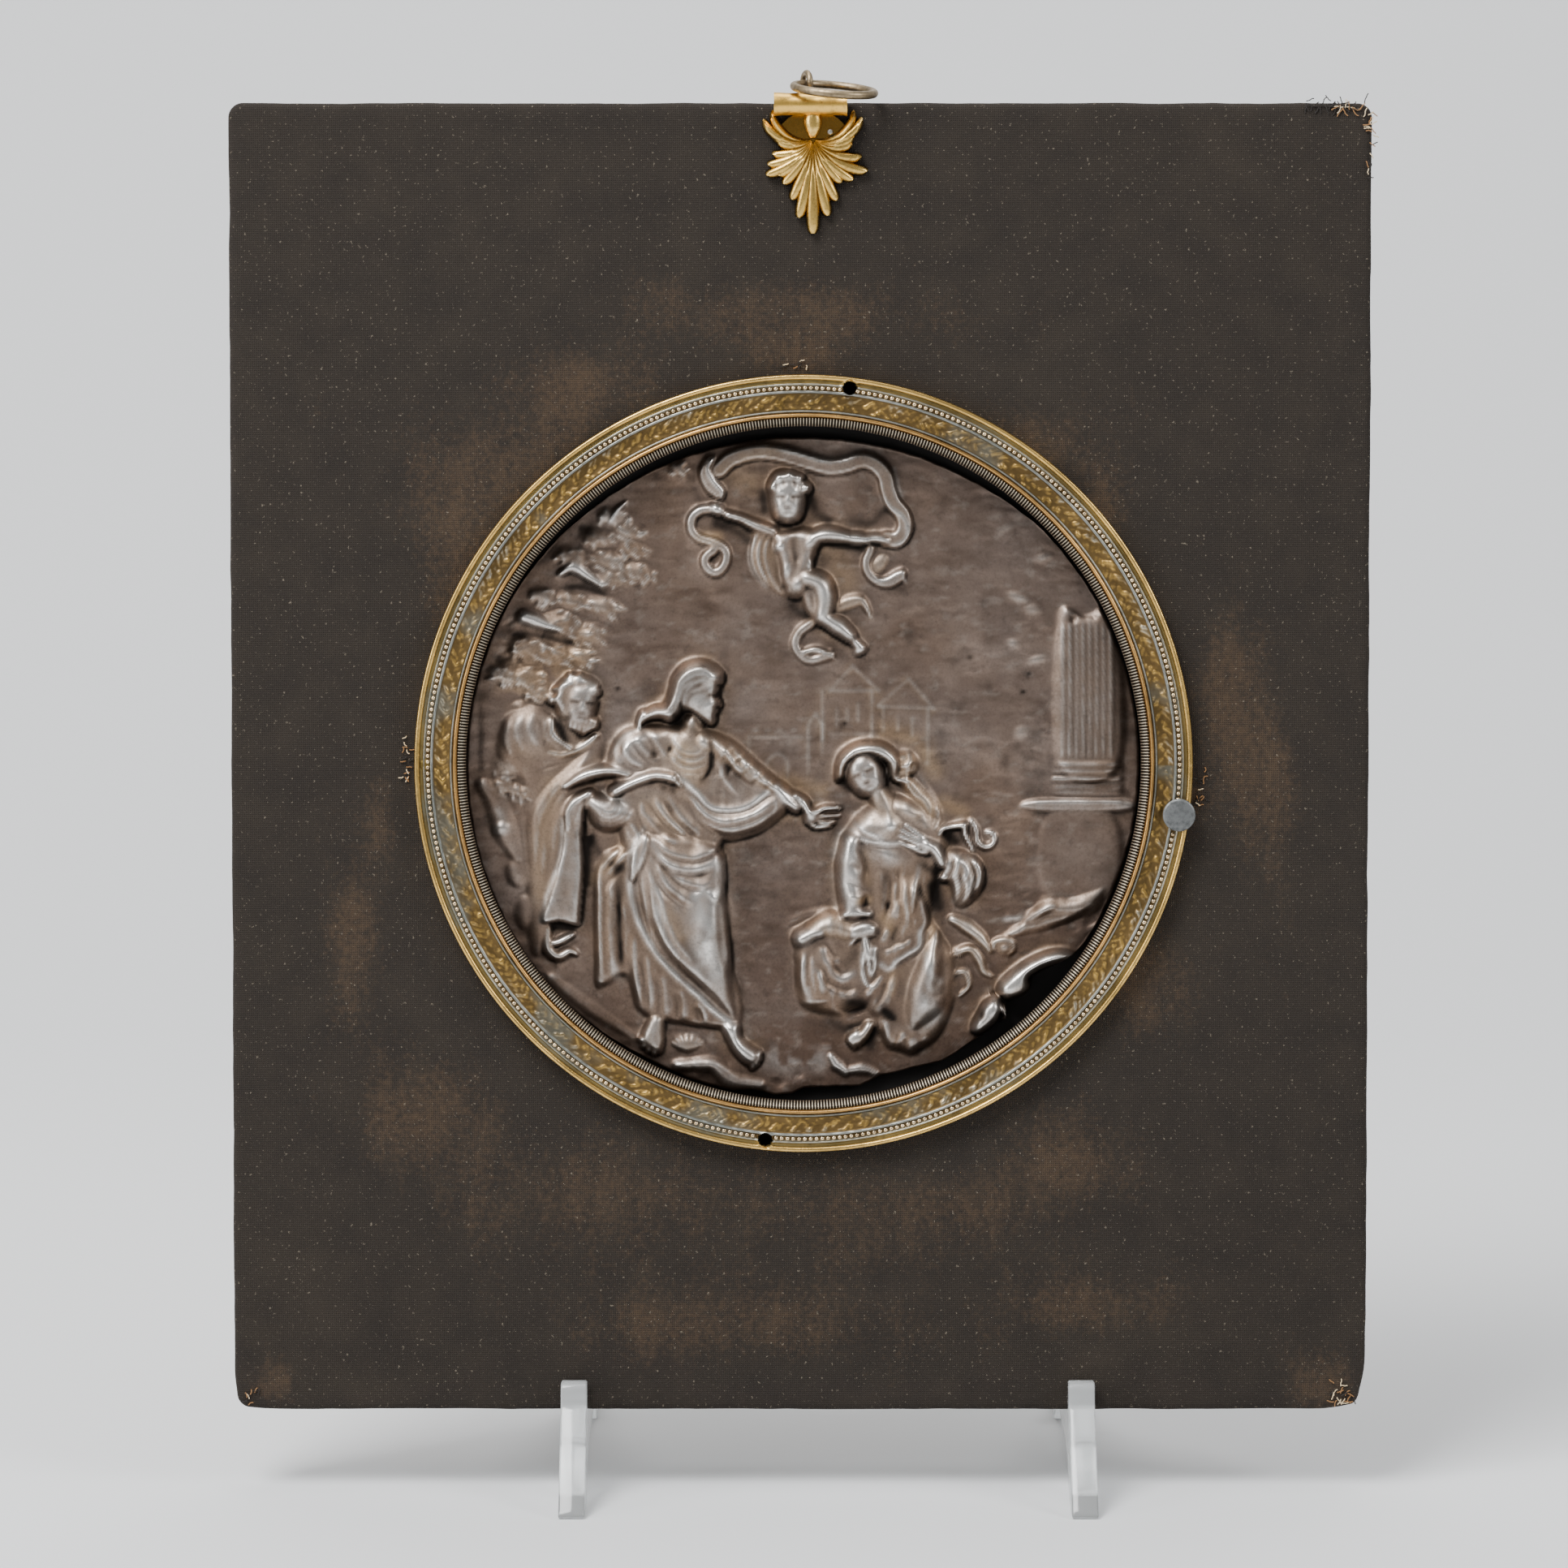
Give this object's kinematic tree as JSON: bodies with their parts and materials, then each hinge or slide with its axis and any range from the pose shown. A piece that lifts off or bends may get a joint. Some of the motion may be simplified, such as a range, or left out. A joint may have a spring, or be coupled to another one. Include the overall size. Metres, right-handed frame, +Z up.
{
  "type": "framed silver plaquette",
  "caption": "Round silver relief plaquette with figures, set behind a brass ring moulding in a cloth-covered board with a gilt palmette and loose hanging ring, leaning on a clear easel.",
  "frame": {"origin": "on the floor, under the middle of the easel's feet and of the board's width", "axes": "+Z up, +Y from the relief's face to the board's back, +X to the right of someone who faces the relief"},
  "size_m": [0.234, 0.097, 0.2913],
  "materials": {
    "cloth": "worn dark book cloth over board",
    "card": "matt brown card",
    "silver": "cast and chased silver, toned dark in the hollows and rubbed bright on the high parts",
    "gilt_brass": "pressed and gilt",
    "dull_brass": "dull, toned",
    "nail": "matt grey",
    "bright_gilt": "stamped and bright gilt",
    "steel_pin": "bright",
    "brass_wire": "worn, greyish",
    "acrylic": "clear polished acrylic"
  },
  "bodies": {
    "root": {"mount_board": "cloth", "back_panel": "card", "silver_plaquette": "silver", "ring_frame": "gilt_brass", "brass_pin": "dull_brass", "grey_nail": "nail", "palmette_hanger": "bright_gilt", "palmette_pin": "steel_pin", "screw_eye": "brass_wire", "hanging_ring": "brass_wire", "stand_side_left": "acrylic", "stand_side_right": "acrylic", "stand_crossbar": "acrylic"}
  },
  "joints": []
}
